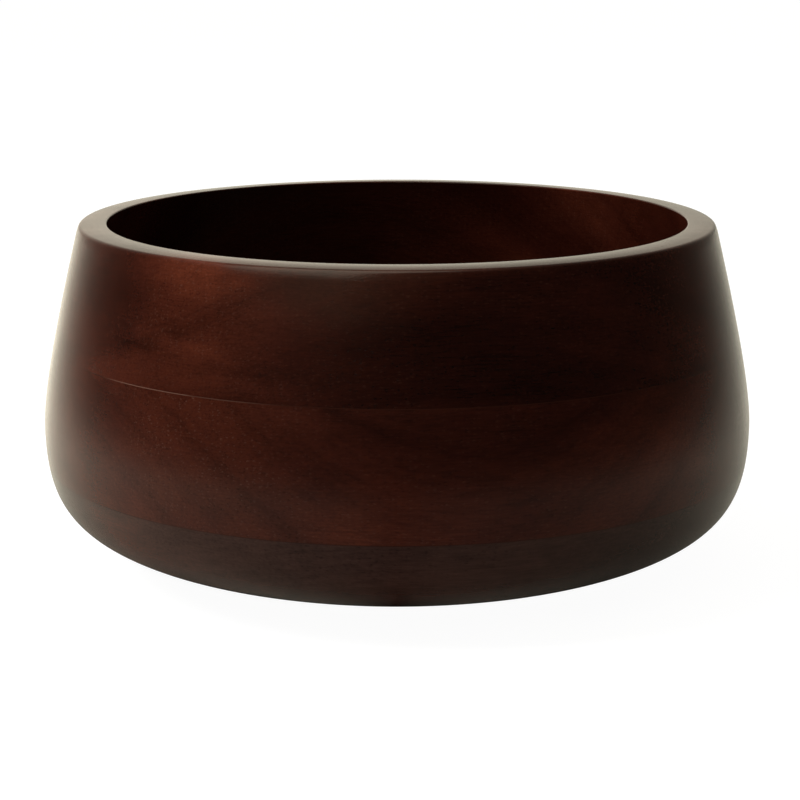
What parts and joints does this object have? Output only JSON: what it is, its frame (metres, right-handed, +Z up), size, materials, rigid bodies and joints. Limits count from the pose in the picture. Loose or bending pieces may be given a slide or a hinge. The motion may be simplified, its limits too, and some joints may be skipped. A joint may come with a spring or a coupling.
{
  "type": "wooden serving bowl",
  "caption": "Round wooden serving bowl with a wide low belly, drawn in to a flat eased rim, turned from stacked glued planks in a dark satin stain.",
  "frame": {"origin": "middle of the foot, on the surface that the bowl stands on", "axes": "+Z up along the turning axis, out of the mouth; the grain of the planks runs along X"},
  "size_m": [0.305, 0.305, 0.145],
  "materials": {
    "rim_wood": "dark brown stain under a thin satin lacquer, grain along X",
    "belly_wood": "dark brown stain under a thin satin lacquer, grain along X",
    "base_wood": "dark brown stain under a thin satin lacquer, grain along X",
    "glue": "dried wood glue, stained with the wall"
  },
  "bodies": {
    "root": {"rim_ring": "rim_wood", "belly_ring": "belly_wood", "base_dish": "base_wood", "upper_glue_line": "glue", "lower_glue_line": "glue"}
  },
  "joints": []
}
